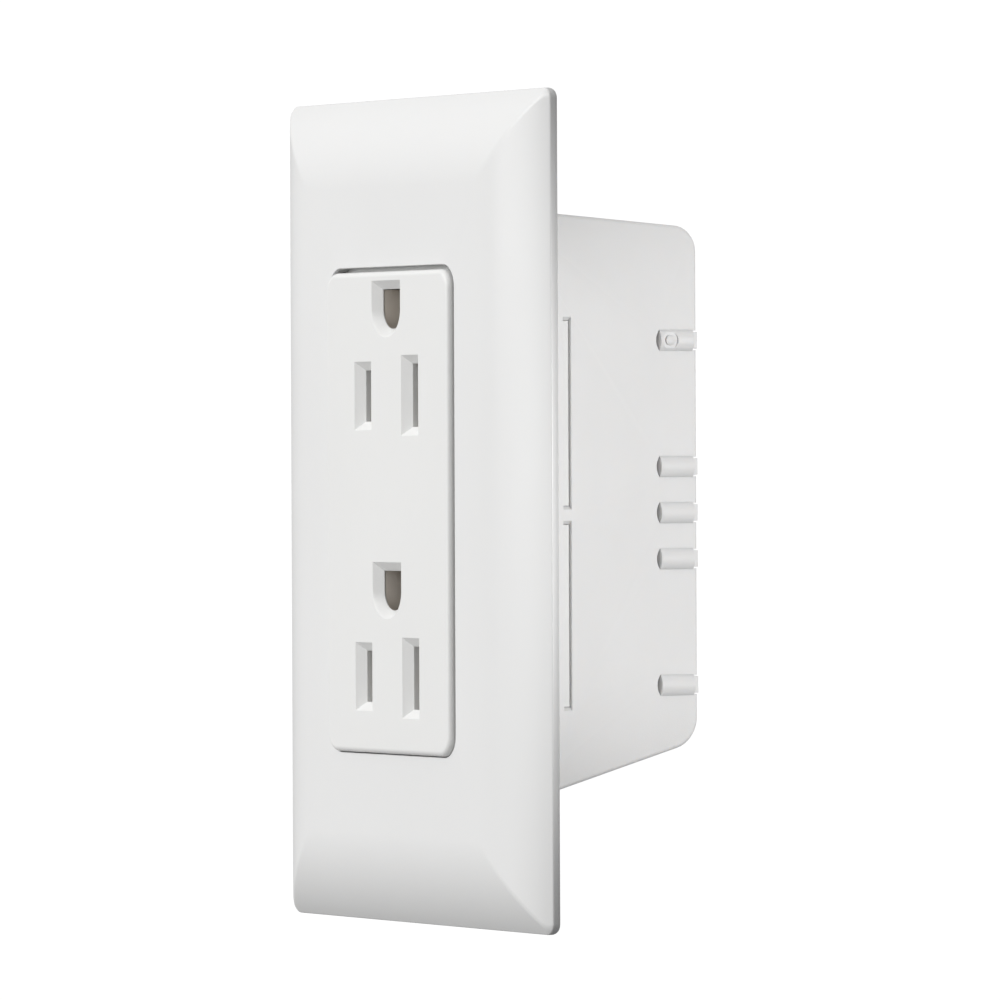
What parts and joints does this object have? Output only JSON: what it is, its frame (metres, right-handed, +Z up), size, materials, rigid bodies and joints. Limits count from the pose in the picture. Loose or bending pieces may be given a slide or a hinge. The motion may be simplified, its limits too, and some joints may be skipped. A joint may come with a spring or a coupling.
{
  "type": "duplex wall outlet",
  "caption": "Self-contained duplex wall outlet: rectangular receptacle face in a screwless clip-on plate, with its own rear body and swing-out wall clamps.",
  "frame": {"origin": "centre of the plane where the flange and the cover plate meet the wall", "axes": "+X to the right as seen from the room, +Y into the wall, +Z up"},
  "size_m": [0.0698, 0.0369, 0.1142],
  "materials": {
    "plate_plastic": "moulded white, satin gloss",
    "face_plastic": "moulded white, fine texture",
    "body_plastic": "moulded white, slightly translucent",
    "carrier_plastic": "moulded off-white",
    "contact_brass": "stamped",
    "ground_metal": "stamped and plated",
    "rivet_brass": "turned",
    "zinc_steel": "zinc plated",
    "spring_steel": "spring steel",
    "cast_wing": "die cast"
  },
  "bodies": {
    "housing": {"face_housing": "face_plastic", "body_housing": "body_plastic", "contact_carrier": "carrier_plastic", "hot_contact_strip": "contact_brass", "neutral_contact_strip": "contact_brass", "ground_contact_upper": "ground_metal", "ground_contact_lower": "ground_metal", "ground_strap": "ground_metal", "ground_rivets": "rivet_brass", "hot_terminals": "contact_brass", "neutral_terminals": "contact_brass", "ground_terminals": "ground_metal", "housing_screws": "zinc_steel"},
    "cover_plate": {"wall_plate": "plate_plastic"},
    "wire_cover": {"rear_cover": "body_plastic"},
    "upper_screw": {"upper_clamp_screw": "zinc_steel", "upper_screw_retainer": "spring_steel"},
    "upper_nut": {"upper_clamp_nut": "rivet_brass"},
    "upper_wing": {"upper_clamp_wing": "cast_wing"},
    "lower_screw": {"lower_clamp_screw": "zinc_steel", "lower_screw_retainer": "spring_steel"},
    "lower_nut": {"lower_clamp_nut": "rivet_brass"},
    "lower_wing": {"lower_clamp_wing": "cast_wing"}
  },
  "joints": [
    {"name": "cover_plate_off", "type": "slide", "parent": "housing", "child": "cover_plate", "axis": [0, -1, 0], "range_m": [0, 0.015]},
    {"name": "wire_cover_off", "type": "slide", "parent": "housing", "child": "wire_cover", "axis": [0, 1, 0], "range_m": [0, 0.02]},
    {"name": "upper_nut_travel", "type": "slide", "parent": "housing", "child": "upper_nut", "axis": [0, -1, 0], "range_m": [-0.00595, 0.00595]},
    {"name": "upper_screw_turn", "type": "hinge", "parent": "housing", "child": "upper_screw", "pos_m": [0, 0, 0.037], "axis": [0, 1, 0], "range_deg": [-2701, 2701]},
    {"name": "upper_wing_swing", "type": "hinge", "parent": "upper_nut", "child": "upper_wing", "pos_m": [0, 0.007, 0.037], "axis": [0, 1, 0], "range_deg": [0, 90]},
    {"name": "lower_nut_travel", "type": "slide", "parent": "housing", "child": "lower_nut", "axis": [0, -1, 0], "range_m": [-0.00595, 0.00595]},
    {"name": "lower_screw_turn", "type": "hinge", "parent": "housing", "child": "lower_screw", "pos_m": [0, 0, -0.037], "axis": [0, 1, 0], "range_deg": [-2701, 2701]},
    {"name": "lower_wing_swing", "type": "hinge", "parent": "lower_nut", "child": "lower_wing", "pos_m": [0, 0.007, -0.037], "axis": [0, -1, 0], "range_deg": [0, 90]}
  ],
  "couplings": [
    {"joint": "upper_screw_turn", "follows": "upper_nut_travel", "rad_per_m": 7915.8},
    {"joint": "lower_screw_turn", "follows": "lower_nut_travel", "rad_per_m": 7915.8}
  ]
}
